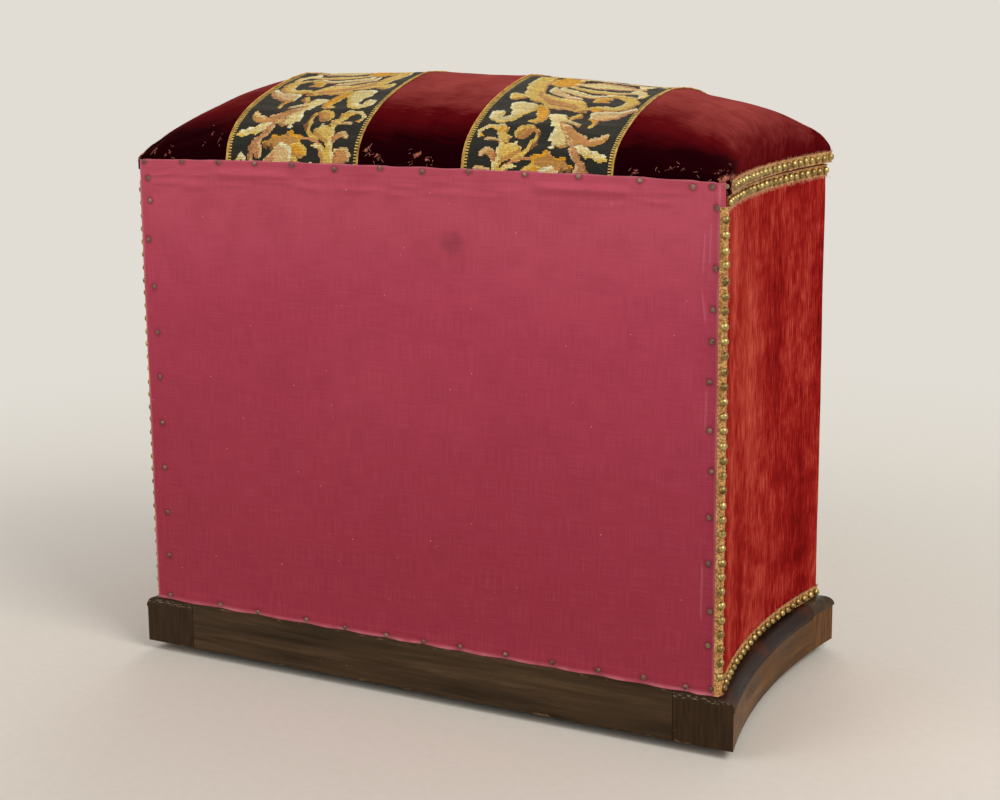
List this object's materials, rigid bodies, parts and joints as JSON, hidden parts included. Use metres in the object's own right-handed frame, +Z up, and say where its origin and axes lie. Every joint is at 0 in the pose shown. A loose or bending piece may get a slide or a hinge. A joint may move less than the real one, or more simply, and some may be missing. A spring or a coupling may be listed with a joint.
{
  "type": "storage ottoman",
  "caption": "Upholstered storage ottoman: a box with hollow sides on a dark moulded plinth with concealed castors, and a stuffed domed lid hinged along its back.",
  "frame": {"origin": "centre of the footprint's bounding box, on the floor under the castors", "axes": "+Z up, -Y towards the front, +Y towards the flat cloth-covered back, +X to the right seen from the front"},
  "size_m": [0.63, 0.3062, 0.5879],
  "materials": {
    "ebonised_wood": "ebonised and polished, worn",
    "pine": "planed, unfinished",
    "lining": "plain glazed cotton on board",
    "side_velvet": "red silk velvet, faded in streaks",
    "lid_velvet": "dark red silk velvet, worn",
    "needlework": "wool needlework, gold and cream scrolls on black",
    "gold_cord": "gold silk cord",
    "gold_braid": "woven gold braid",
    "nail_brass": "aged brass",
    "tack_steel": "dull, oxidised",
    "back_cotton": "plain cotton, crimson-pink",
    "pin_steel": "bare steel",
    "hinge_brass": "aged brass",
    "stuffing": "curled hair under wadding",
    "castor_brass": "tarnished brass"
  },
  "bodies": {
    "box": {"plinth_back_rail": "ebonised_wood", "plinth_front_rail": "ebonised_wood", "plinth_left_rail": "ebonised_wood", "plinth_right_rail": "ebonised_wood", "castor_blocks": "pine", "castor_plates": "castor_brass", "floor_board": "pine", "post_back_left": "pine", "post_back_right": "pine", "post_front_left": "pine", "post_front_right": "pine", "top_rail_back": "pine", "top_rail_front": "pine", "top_rail_left": "pine", "top_rail_right": "pine", "panel_back": "pine", "panel_front": "pine", "panel_left": "pine", "panel_right": "pine", "lining_back": "lining", "lining_front": "lining", "lining_left": "lining", "lining_right": "lining", "side_velvet_left": "side_velvet", "side_velvet_right": "side_velvet", "front_velvet": "side_velvet", "front_needlework_left": "needlework", "front_needlework_right": "needlework", "front_edging": "gold_cord", "top_braid": "gold_braid", "bottom_braid": "gold_braid", "corner_braids": "gold_braid", "body_nails": "nail_brass", "back_cloth": "back_cotton", "back_tacks": "tack_steel", "hinge_base_leaves": "hinge_brass", "hinge_pins": "pin_steel"},
    "lid": {"lid_board": "pine", "lid_stuffing": "stuffing", "lid_velvet_left": "lid_velvet", "lid_velvet_centre": "lid_velvet", "lid_velvet_right": "lid_velvet", "lid_needlework_left": "needlework", "lid_needlework_right": "needlework", "lid_edging": "gold_cord", "lid_braid": "gold_braid", "lid_nails": "nail_brass", "lid_cloth_flap": "back_cotton", "lid_flap_tacks": "tack_steel", "lid_lining": "lining", "hinge_lid_leaves": "hinge_brass"},
    "castor_back_left": {"castor_fork_back_left": "castor_brass"},
    "wheel_back_left": {"castor_wheel_back_left": "castor_brass"},
    "castor_back_right": {"castor_fork_back_right": "castor_brass"},
    "wheel_back_right": {"castor_wheel_back_right": "castor_brass"},
    "castor_front_left": {"castor_fork_front_left": "castor_brass"},
    "wheel_front_left": {"castor_wheel_front_left": "castor_brass"},
    "castor_front_right": {"castor_fork_front_right": "castor_brass"},
    "wheel_front_right": {"castor_wheel_front_right": "castor_brass"}
  },
  "joints": [
    {"name": "lid_hinge", "type": "hinge", "parent": "box", "child": "lid", "pos_m": [0, 0.1499, 0.493], "axis": [-1, 0, 0], "range_deg": [0, 95]},
    {"name": "castor_swivel_back_left", "type": "hinge", "parent": "box", "child": "castor_back_left", "pos_m": [-0.2205, 0.0936, 0.0335], "axis": [0, 0, 1], "continuous": true},
    {"name": "wheel_roll_back_left", "type": "hinge", "parent": "castor_back_left", "child": "wheel_back_left", "pos_m": [-0.2205, 0.1036, 0.0125], "axis": [1, 0, 0], "continuous": true},
    {"name": "castor_swivel_back_right", "type": "hinge", "parent": "box", "child": "castor_back_right", "pos_m": [0.2205, 0.0936, 0.0335], "axis": [0, 0, 1], "continuous": true},
    {"name": "wheel_roll_back_right", "type": "hinge", "parent": "castor_back_right", "child": "wheel_back_right", "pos_m": [0.2205, 0.1036, 0.0125], "axis": [1, 0, 0], "continuous": true},
    {"name": "castor_swivel_front_left", "type": "hinge", "parent": "box", "child": "castor_front_left", "pos_m": [-0.2205, -0.0726, 0.0335], "axis": [0, 0, 1], "continuous": true},
    {"name": "wheel_roll_front_left", "type": "hinge", "parent": "castor_front_left", "child": "wheel_front_left", "pos_m": [-0.2205, -0.0626, 0.0125], "axis": [1, 0, 0], "continuous": true},
    {"name": "castor_swivel_front_right", "type": "hinge", "parent": "box", "child": "castor_front_right", "pos_m": [0.2205, -0.0726, 0.0335], "axis": [0, 0, 1], "continuous": true},
    {"name": "wheel_roll_front_right", "type": "hinge", "parent": "castor_front_right", "child": "wheel_front_right", "pos_m": [0.2205, -0.0626, 0.0125], "axis": [1, 0, 0], "continuous": true}
  ]
}
